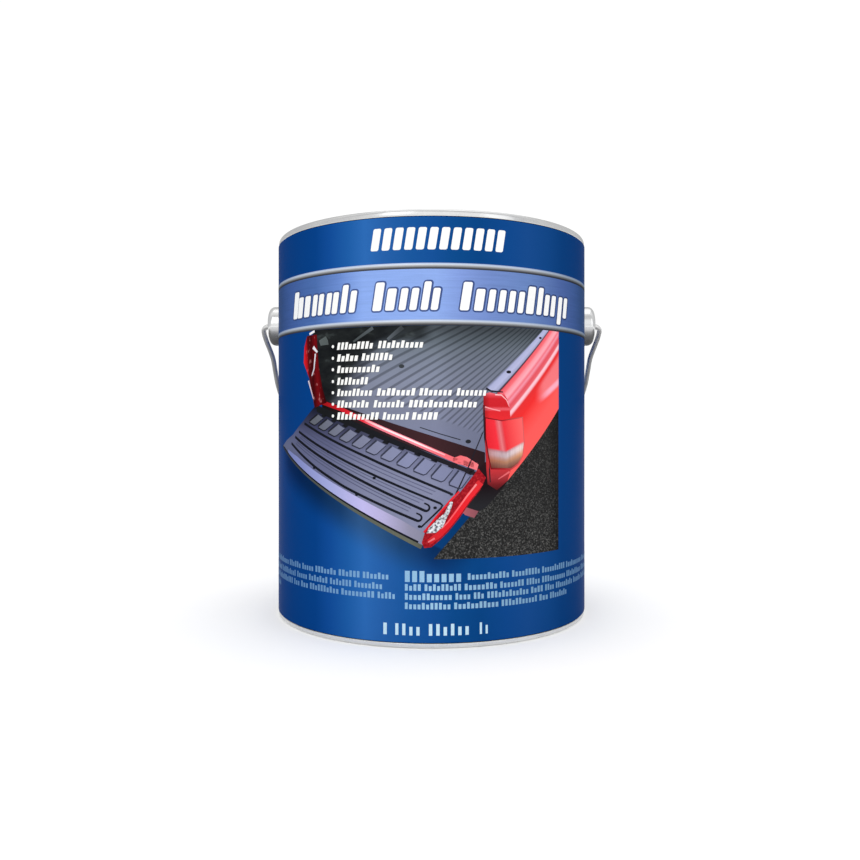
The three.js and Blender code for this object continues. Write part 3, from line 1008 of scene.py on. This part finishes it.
def post_colours(n, u, v):
    """The far bed side's end: bright red outside, dark inside, with a pale latch between."""
    across = beyond(n, u, v, (-63.5, 110), (-66.5, 142))
    red = tones(n, across, {-5.0: 0xd22c2c, -2.5: 0xcc1c22, -0.6: 0x961218, 0.2: 0x540e12,
                            3.0: 0x3e080c, 6.0: 0x700e14, 9.0: 0x4a080c, 11.0: 0x280a0c})
    glint = n.noise(n.combine(u, n.times(v, 0.4), 0.0), 0.55, 2.0, 0.6)
    return n.mix(n.span(glint, 0.58, 0.72, 0.0, 0.45, smooth=True), red, rgb(0xe69696))


def make_patch():
    printed("coating_patch", 1, ink("patch_ink", patch_colours, spots=0.08),
            [(0.85, 40), (68.6, 40), (68.6, 107.7), (35.7, 74.5), (30.3, 69), (20, 62)])


def make_bed_floor():
    printed("bed_floor", 2, ink("floor_ink", floor_colours),
            [(-62, 144.6), (57.2, 144.6), (35, 117.5), (30, 112.5), (25, 108), (26, 82),
             (-54.8, 109), (-60, 122), (-62, 138)])
    marks = Print("floor_marks", 3, toned("floor_mark_ink", "u",
                                          {-60: 0x5c6464, -38: 0x424848, -20: 0x5c636a,
                                           -14: 0x3c4044, 10: 0x282a30}))
    marks.add([(-57.5, 139.6), (-53, 141.4), (-51.6, 139.4), (-51.2, 137.4), (-56.4, 137.2)])
    for foot, head, width in (((-37, 138), (-27, 144), 1.6), ((-20, 138.5), (-13, 144), 2.2)):
        marks.add(stroke([foot, head], width * 0.6, width))
    for u, v in ((16.6, 92.6), (-13.5, 126.4)):
        marks.add(oval(u, v, 1.3, 0.9, 10))
    marks.add(stroke([(-5.2, 99.0), (4, 96.0), (13, 93.4)], 0.4))
    marks.finish()


def make_sill():
    """The threshold between the bed and its gate: a dark step, then a lit red edge."""
    printed("sill_step", 3,
            toned("step_ink", "u", {-55: 0x181212, -25: 0x342226, 0: 0x42282c, 24: 0x2c1e22}),
            [(-56, 112), (-40, 107.8), (24.5, 87.6), (24.5, 82.5), (21, 80), (-55, 106.4)])
    printed("sill_edge", 4,
            toned("edge_ink", "u", {-56: 0x961218, -44: 0xc41e28, -32: 0xec3240, -25: 0xfa8090,
                  -8: 0xfa8c9c, 2: 0xf87480, 12: 0xf67076, 22: 0xf68086}),
            stroke([(-57, 111), (-44, 107.4), (-10, 93.2), (12, 83.6), (20.6, 81.8)], 1.9, 2.2),
            [(8, 84.6), (13, 86.4), (16, 85.6), (21.4, 82.2), (20.6, 79.6), (13, 82.4)])
    printed("sill_shine", 5,
            toned("shine_ink", "u", {-31: 0xfa96a0, -22: 0xffe8ec, -6: 0xfff0f2, 6: 0xfcaab4}),
            stroke([(-31, 102.3), (-10, 93.5), (6, 86.6)], 0.9, 0.6))
    hinge = Print("gate_hinge", 4, toned("hinge_ink", "u",
                                         {-60: 0x1a1c1e, 0: 0x222228, 24: 0x2e282e}))
    hinge.add([(-60, 109.6), (-46, 105.4), (21, 78.6), (21.6, 76.4), (-38, 99.2), (-58.9, 106)])
    for left, right in pocket_spans():
        middle = (left + right) / 2
        hinge.add([gate_place(middle, 0.985), gate_place(middle, 0.92), gate_place(right, 0.915),
                   gate_place(right, 0.985)])
    hinge.finish()


def make_gate():
    printed("tailgate", 3, ink("gate_ink", gate_colours),
            [GATE[0], (-88.2, 92), (-80, 95), (-70, 101.5), (-60.5, 108.6), GATE[2], (10.4, 66.4),
             (-3.4, 47.6), GATE[1]])
    printed("gate_lip", 4, ink("lip_ink", lip_colours),
            [(-86, 87.6), (-75, 84.3), (-46, 72), (-30, 65), (-14, 57.6), (-5, 52.6), (-2.4, 49.4),
             (-5.2, 47.8), (-86, 85.9)])
    printed("gate_rim", 4,
            toned("rim_ink", "u", {-95: 0x1e2634, -80: 0x3a3e40, -40: 0x5c6058, -10: 0x686a5c,
                  -2: 0x54544c}),
            stroke([(-95, 89.2), (-84, 84), (-62, 73.6), (-30, 58), (-4.4, 45.4)], 0.9, 2.0))
    lines = Print("gate_grooves", 5, toned("groove_ink", "u",
                                           {-90: 0x16181e, 0: 0x1e2028, 20: 0x2e303a}))
    grooves = [[(-81.6, 90.8), (-60, 79.9), (-42, 71.6), (-6.5, 57.2)],
               [(-77.4, 94.0), (-40, 77.8), (-3, 61.7)],
               [(-73.6, 96.6), (-35, 80.8), (3.8, 65.0)], [(-68.6, 100.6), (-30, 85.4), (8.6, 69.3)]]
    for line in grooves[:2]:
        lines.add(stroke(hooked(line, 1.5, 1.6), 1.3, 0.7))
    lines.add(stroke(grooves[2] + [(4.9, 64.1), (4.2, 62.8), (-4.8, 54.2)], 1.2, 0.7))
    lines.add(stroke(grooves[3], 1.2, 1.1))
    lines.add(stroke([(-92, 88.6), (-6, 47.6)], 0.6, 0.9))
    for place in ((-51.3, 87.4), (-61, 79.6), (-26.4, 76), (-35.2, 68.2), (-5.4, 54.6), (1.6, 63.0),
                  (8.9, 69)):
        lines.add(block(place[1] - 0.6, place[1] + 0.6, place[0] - 0.8, place[0] + 0.8, 0.0, 0.59))
    lines.finish()
    creases = Print("gate_creases", 5, toned("crease_ink", "u",
                                             {-90: 0x3e4258, -40: 0x585c78, 0: 0x686c88,
                                              20: 0x606480}))
    for low, high in zip(grooves, grooves[1:]):
        for share in (0.42, 0.7):
            start, end = between(low[0], high[0], share), between(low[-1], high[-1], share)
            creases.add(stroke([between(start, end, 0.04), between(start, end, 0.5),
                                between(start, end, 0.93)], 0.4))
    creases.finish()
    pockets = Print("gate_pockets", 5, toned("pocket_ink", "u",
                                             {-60: 0x60646e, -44: 0x74788c, -25: 0x8286a2,
                                              -10: 0x888dae, 18: 0x7c809e}))
    slits = Print("gate_slits", 6, toned("slit_ink", "u",
                                         {-60: 0x1e1f24, -20: 0x3c3f50, 20: 0x3e4154}))
    for left, right in pocket_spans():
        corner = (right - left) * 0.12
        outline = [gate_place(along, across) for along, across in (
            (left, 0.92), (left, 0.755), (left + corner, 0.73), (right - corner, 0.73),
            (right, 0.755), (right, 0.9))]
        pockets.add(outline[::-1])
        slits.add(stroke(outline, 0.85, 0.35))
    pockets.finish()
    slits.finish()
    printed("gate_side", 6,
            ink("gate_side_ink", lambda n, u, v: tones(n, n.noise(n.combine(u, v, 0.0), 0.9, 2.0,
                0.6), {0.3: 0x80121a, 0.5: 0xa01a24, 0.7: 0xba2c34})),
            [(21.4, 80.4), (24.9, 76.2), (22.1, 70.7), (16.8, 64.4), (12.8, 58.7), (7.6, 52.4),
             (3.8, 48.6), (-0.1, 45.4), (-3.2, 45.0), (-4.4, 47.3), (-2.8, 52.4), (2.5, 58.7),
             (8.9, 66), (12.8, 69.8)])
    printed("gate_flange", 7,
            toned("flange_ink", "v", {45: 0xba1e26, 50: 0xd62830, 58: 0xe8222c, 68: 0xee2c34,
                  76: 0xd63238}),
            stroke([(22.4, 74.2), (17.0, 67.9), (12.2, 61.4), (8.0, 55.9), (3.6, 51.2),
             (-1.2, 47.6)], 3.2, 2.6),
            stroke([(-3.4, 52), (2.2, 59), (8.4, 66.2), (12.4, 70.2)], 0.8))
    printed("gate_shine", 8,
            toned("gate_shine_ink", "v", {48: 0xec787c, 60: 0xfa6068, 72: 0xf68c90}),
            stroke([(20.4, 73.4), (15.6, 67.6), (11.0, 61.4), (7.2, 56.4), (4.4, 53.6)], 0.8, 0.4),
            stroke([(1.4, 49.4), (-1.6, 47.6)], 0.9, 0.5))
    printed("gate_latch", 9,
            ink("latch_ink", lambda n, u, v: tones(n, n.noise(n.combine(u, v, 0.0), 0.8, 2.0,
                0.6), {0.36: 0x54525c, 0.5: 0xc4c8ce, 0.62: 0xeef0f4})),
            [(-2.2, 51.6), (-1.3, 53.9), (1.2, 56.4), (3.8, 58.9), (6.0, 60.8), (8.3, 65.8),
             (9.6, 65.5), (8.6, 62.2), (6.4, 57.6), (5.2, 54.6), (2.0, 51.9)])


def make_side():
    printed("bed_side", 4, ink("side_ink", side_colours),
            [(60, 144.6), (68.6, 144.6), (68.6, 107.7), (35.7, 74.5), (30.4, 72), (28, 100),
             (30.8, 115.4)])
    printed("rail_cap", 5,
            ink("cap_ink", lambda n, u, v: tones(n, slope_from_far(n, u, v), {0.885: 0x3a3c48,
                0.90: 0x9296b8, 0.91: 0xacb0d4, 0.945: 0xb6b9dc, 0.974: 0xa0a3c4, 0.984: 0x423c48,
                0.993: 0x5c323c})),
            [(56.8, 144.6), (61.3, 144.6), (32, 115.4), (27, 115.4), (25, 116.8)])
    printed("bed_corner", 6, ink("corner_ink", corner_colours),
            [(23.7, 109), (23.8, 113.9), (26.6, 114.8), (31.1, 113.9), (33.4, 115.2), (35.4, 112),
             (37, 107.2), (38, 92), (37.4, 79.4), (35.7, 74.5), (30.3, 70.4), (25.7, 73.3),
             (25.1, 79.9)])
    printed("corner_glints", 7,
            toned("corner_glint_ink", "v", {70: 0xc4545c, 80: 0xec6e72, 106: 0xfa969c,
                  116: 0xffc4c8}),
            stroke([(29.4, 113.8), (32.6, 113.6), (35.2, 111.4), (36.6, 108.4)], 0.7, 0.3),
            stroke([(24.4, 108.2), (28, 107.2), (32, 106.4)], 0.5),
            stroke([(36.8, 78.6), (31, 75.4)], 0.9, 0.4))
    lens = [(24.8, 103), (32.8, 101.7), (43.6, 103.2), (44.6, 92), (43.8, 86), (41.4, 82.4),
            (37.6, 80.2), (27.6, 80.6),
            (26.4, 86), (25, 94)]
    printed("lamp_seam", 7, toned("lamp_seam_ink", "u", {24: 0x600e14, 34: 0xa4282e, 45: 0xde6062}),
            [between((34.5, 93.0), corner, 1.055) for corner in lens])
    printed("tail_lamp", 8, ink("lamp_ink", lamp_colours), lens)
    printed("corner_gap", 5, toned("gap_ink", "v", {64: 0x28282c, 72: 0x1e161a, 84: 0x2c1a1e}),
            [(24.9, 83.4), (20.6, 79.6), (21.6, 71), (15.4, 63.2), (21.4, 61.2), (25, 62.8),
             (30.3, 68.2), (35.6, 74.2), (27, 76)])
    holes = Print("rail_holes", 6, ink("hole_ink", rgb(0x26242c)))
    for u, v, size in ((36.4, 124.2, 1.3), (54.9, 140.7, 0.9)):
        holes.add(oval(u, v, size, size * 0.55, 12))
    holes.add(stroke([(25, 116.6), (27.4, 115.4), (33.4, 115)], 0.9, 0.5))
    holes.add(stroke([(23.9, 109), (24.4, 94), (26.6, 80), (27, 74)], 0.9, 0.5))
    holes.add(stroke([(23.4, 96.6), (16.4, 80.6), (10.2, 67.6)], 0.4, 0.7))
    holes.finish()
    printed("bumper", 2, toned("bumper_ink", "u", {13: 0xb0626c, 22: 0x885058}),
            [(12.4, 62.2), (17.4, 64.4), (21.6, 61.4), (19.4, 58.2), (15.2, 59.6)])


def make_far_post():
    printed("far_post", 5, ink("far_post_ink", post_colours),
            [(-66.4, 142.4), (-59, 142.6), (-58.6, 136.3), (-57.6, 127.2), (-55.2, 117.2),
             (-52.4, 110.4), (-60.6, 108), (-62.2, 113.9), (-64.7, 122.2), (-69.2, 129.7),
             (-68.6, 137.1)])
    printed("post_glints", 6,
            toned("glint_ink", "v", {108: 0xc496a0, 125: 0xceced8, 144: 0xececf0}),
            stroke([(-64.4, 143.1), (-60.6, 144.3)], 1.1),
            stroke([(-61.6, 136.8), (-58.6, 134.2)], 1.7, 1.0),
            stroke([(-60, 133.6), (-61, 126.4), (-62.6, 123.2)], 0.9, 0.6),
            stroke([(-65.2, 121), (-61.4, 112.2)], 1.0, 0.6))


# ------------------------------------------------------------------ the label's print

# No words are printed: leaning blocks keep the sizes and spacing of lines of lettering.

TITLE_LOW = 151.5
TITLE_TALL = 12.8
TITLE_SMALL = 9.9
LIST_TALL = 3.3
SMALL_TALL = 2.9
BACK_TALL = 2.4
# Each block is (left, width, tall), and a tall block reaches the height of a capital.
TITLE = [(-79.4, 9.6, True), (-69.2, 5.2, False), (-62.9, 8.4, False), (-53.6, 8.2, False),
         (-44.5, 9.0, True),
         (-27.4, 11.2, True), (-15.0, 9.0, False), (-5.0, 8.6, True),
         (12.6, 11.6, True), (25.4, 9.4, False), (35.8, 9.2, False), (45.8, 5.4, True),
         (52.2, 3.6, True),
         (57.0, 8.8, False), (66.8, 9.4, False)]


def title_blocks(layer, grow):
    """Each block is one or two upright bars, so that a line keeps the weight of bold lettering."""
    slim, broad = 3.2, 4.2
    for i, (left, width, tall) in enumerate(TITLE):
        low = TITLE_LOW - (3.4 if i == len(TITLE) - 1 else 0)
        high = TITLE_LOW + (TITLE_TALL if tall else TITLE_SMALL)
        right = left + width - 0.9
        if width < 7:
            layer.add(block(low, high, left, max(right, left + slim), 0.16, 0.8, grow))
            continue
        bar = broad if width > 9.5 else slim
        layer.add(block(low, high, left, left + bar, 0.16, 0.8, grow))
        layer.add(block(TITLE_LOW, TITLE_LOW + TITLE_SMALL, right - bar, right, 0.16, 0.8, grow))


def make_print():
    # The u stops of the white and navy inks are painted light: lighter left of the middle, painted
    # shade towards the sides.
    white = toned("white_ink", "u", {-100: 0xe2e6ea, -40: 0xfafaf7, 20: 0xfcfcfa, 100: 0xe8eaec},
                  spots=0.01)
    navy = toned("navy_ink", "u", {-90: 0x2c4270, -30: 0x4c6096, 20: 0x405284, 90: 0x2c3e68})
    for name, level, material, grow in (("title_outline", 2, navy, 0.75),
                                        ("title_blocks", 3, white, 0.0)):
        title = Print(name, level, material)
        title_blocks(title, grow)
        title.finish()

    mark = Print("mark_blocks", 1, white)
    left, count, pitch = -28.2, 12, 5.25
    for i in range(count):
        mark.add(block(178.6, 188.6, left + i * pitch, left + i * pitch + 3.7, 0.16, 0.8))
    mark.finish()

    lines = [(136.3, [(-46, -26.6), (-24.6, -3.4)]),
             (130.9, [(-46, -34.1), (-32.7, -17.3)]),
             (125.6, [(-46, -23.4)]),
             (120.1, [(-46, -29.1)]),
             (114.9, [(-46, -27), (-25.1, -7), (-5.6, 9.4), (11.1, 25.4)]),
             (109.6, [(-46, -28.7), (-26.7, -12), (-10.3, 20.9)]),
             (104.1, [(-46, -23.9), (-22.4, -9.9), (-8.9, 3)])]
    bullets = Print("bullet_blocks", 8, white)
    for seed, (middle, spans) in enumerate(lines):
        bullets.add(block(middle - 0.7, middle + 0.7, -49.1, -47.7, 0.0, 0.6))
        words(bullets, middle - LIST_TALL / 2, LIST_TALL, spans, seed)
    bullets.finish()

    # The u stops of the pale ink are painted light: lightest at the front, painted shade towards the
    # sides.
    pale = toned("pale_ink", "u", {-112: 0x54769e, -80: 0x547ca8, -40: 0x709cc8, -20: 0x84b0d6,
                                   0: 0x9cc6e4, 40: 0x7ca4c4, 80: 0x5e84aa, 112: 0x507096})
    left_block = Print("left_print", 1, pale)
    small_lines(left_block, 0, (31.9, -124, -19), (27.4, -124, -22), (23.3, -124, -16),
                (18.9, -124, -97))
    left_block.finish()
    right_block = Print("right_print", 1, pale)
    words(right_block, 29.7, 5.0, [(-12, 14.4)], 9, slant=0.0)
    small_lines(right_block, 20, (31.9, 16.4, 124), (27.3, -12, 124), (23.2, -12, 124),
                (19, -12, 76.6))
    right_block.finish()
    # The u stops of the volume ink are painted light: lightest at the front, painted shade to either
    # side.
    volume = Print("volume_blocks", 1, toned("volume_ink", "u", {-24: 0xbedef0, 0: 0xc8e6f6,
                                                                 30: 0xc0e0f2}))
    words(volume, 5.8, 5.2, [(-22, -18.6), (-16.4, -3.6), (-1.2, 18.6), (22, 27.6)], 5, gap=0.34,
          slant=0.0)
    volume.finish()


def small_lines(layer, first_seed, *lines):
    """Lines of small print, each given as (middle, start, end)."""
    for seed, (middle, start, end) in enumerate(lines, first_seed):
        words(layer, middle - SMALL_TALL / 2, SMALL_TALL, spread(start, end, seed), seed,
              slant=0.0)


def make_back_print():
    """Two columns of small print at the back, a guess at the directions for use."""
    pale = toned("back_pale_ink", "v", {20: 0x6084aa, 140: 0x7094b8})
    column = Print("back_print", 1, pale)
    top, pitch, rows, paragraph = 134, 4.6, 21, 7
    for start, end in ((150, 216), (224, 300)):
        for row in range(rows):
            last = row % paragraph == paragraph - 2
            if row % paragraph < paragraph - 1:
                words(column, top - row * pitch - BACK_TALL / 2, BACK_TALL,
                      spread(start, end - last * 22, row + start), row, slant=0.0)
    column.finish()


def make_label():
    make_sheet()
    make_bands()
    make_patch()
    make_bed_floor()
    make_sill()
    make_gate()
    make_side()
    make_far_post()
    make_print()
    make_back_print()


# ------------------------------------------------------------------ stage, light and camera

def level_sheet(name, left, right, reach, height, material):
    """A flat sheet of the stage, in metres, from left to right and as far as reach both ways."""
    mesh = bpy.data.meshes.new(name)
    corners = [(left, -reach, 0), (right, -reach, 0), (right, reach, 0), (left, reach, 0)]
    mesh.from_pydata(corners, [], [(0, 1, 2, 3)])
    mesh.materials.append(material)
    sheet = linked(name, mesh)
    sheet.location.z = height
    return sheet


def make_stage():
    material, n, surface = new_material("pale_floor")
    tone = n.noise(n.object_place(), 3.0, 3.0, 0.5)
    surface(colour=n.ramp(tone, [(0.3, plain(0.94)), (0.7, plain(0.96))]), roughness=0.9,
            specular=0.1, glow=(1, 1, 1, 1), glow_strength=0.12)
    level_sheet("floor", -6.0, 6.0, 6.0, -0.0002, material)
    make_cards()


def make_cards():
    """Two dark cards under the ears, seen only in the metal, so that its undersides read dark."""
    material, n, surface = new_material("dark_card")
    _, y, _ = n.split(n.object_place())
    stops = ((0.0, 0.72), (0.44, 0.66), (0.62, 0.38), (0.75, 0.26), (0.85, 0.18), (1.0, 0.12))
    surface(colour=n.ramp(n.span(y, -0.13, 0.0), [(at, plain(tone)) for at, tone in stops]),
            roughness=1.0)
    for name, side in (("right_card", 1), ("left_card", -1)):
        card = level_sheet(name, side * 0.0835, side * 0.35, 0.25, 0.115, material)
        card.visible_camera = False
        card.visible_diffuse = False
        card.visible_shadow = False
        card.visible_transmission = False


def area_light(name, place, size, power, target=(0, 0, 0.1)):
    data = bpy.data.lights.new(name, "AREA")
    data.shape = "RECTANGLE"
    data.size, data.size_y = size
    data.energy = power
    lamp = linked(name, data)
    lamp.location = place
    lamp.rotation_euler = (Vector(target) - Vector(place)).to_track_quat("-Z", "Y").to_euler()


def make_world():
    """A white room to the camera; softer and greyer towards the sides for what the metal mirrors."""
    world = bpy.data.worlds.new("studio")
    bpy.context.scene.world = world
    world.use_nodes = True
    tree = world.node_tree
    n = Nodes(tree)
    back = tree.nodes["Background"]
    direction = n.add("TexCoord").outputs["Generated"]
    x, y, z = n.split(direction)
    over = n.math("DEGREES", n.math("ARCTAN2", z, n.times(y, -1.0)))
    stops = ((0, 0.90), (12, 1.06), (28, 1.04), (42, 0.70), (58, 0.66), (72, 0.92), (92, 0.92),
             (115, 0.62), (180, 0.55))
    tone = n.ramp(n.span(over, 0.0, 180.0), [(angle / 180, plain(light)) for angle, light in stops])
    side = n.span(n.math("ABSOLUTE", x), 0.45, 0.95, 0.0, 0.85, smooth=True)
    tone = n.mix(side, tone, (0.66, 0.66, 0.67))
    mirrored = n.add("LightPath").outputs["Is Glossy Ray"]
    n.join(n.mix(mirrored, plain(1.04), tone), back.inputs["Color"])
    back.inputs["Strength"].default_value = 1.0


def make_camera():
    """Level, straight in front of the can, a little over half way up it."""
    data = bpy.data.cameras.new("camera")
    camera = linked("camera", data)
    distance = 5.32 * LABEL_R * MM
    eye = 0.523 * CAN_TOP * MM
    camera.location = (0, -distance, eye)
    camera.rotation_euler = (math.pi / 2, 0, 0)
    data.sensor_width = 36
    data.lens = 33.46
    data.shift_x = -0.0018
    data.shift_y = -0.0136
    data.clip_start = 0.01
    bpy.context.scene.camera = camera


def build():
    make_camera()
    make_stage()
    make_world()
    area_light("key", (-0.55, -1.2, 0.9), (0.5, 1.0), 1.3)
    area_light("fill", (0.95, -0.9, 0.55), (0.5, 0.9), 0.7)
    area_light("top", (0.1, 0.25, 1.3), (1.0, 1.0), 1.5)
    make_body(tinplate("body_tin"))
    make_bottom(tinplate("bottom_tin", 0.74, 0.26))
    make_ring(tinplate("ring_tin", 0.80, 0.20))
    make_lid(tinplate("lid_tin", 0.78, 0.24))
    ear_metal = tinplate("ear_tin", 0.86, 0.15, around=False)
    make_ear("right_ear", "ear_right", 1, ear_metal)
    make_ear("left_ear", "ear_left", -1, ear_metal)
    make_bail(drawn_wire("bail_steel"))
    make_coating(coating_material())
    rubber = compound_material()
    for node in ("bottom_seam_compound", "top_seam_compound"):
        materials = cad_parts[node].data.materials
        materials.clear()
        materials.append(rubber)
    make_label()
    bpy.context.scene.view_settings.view_transform = "Standard"


build()
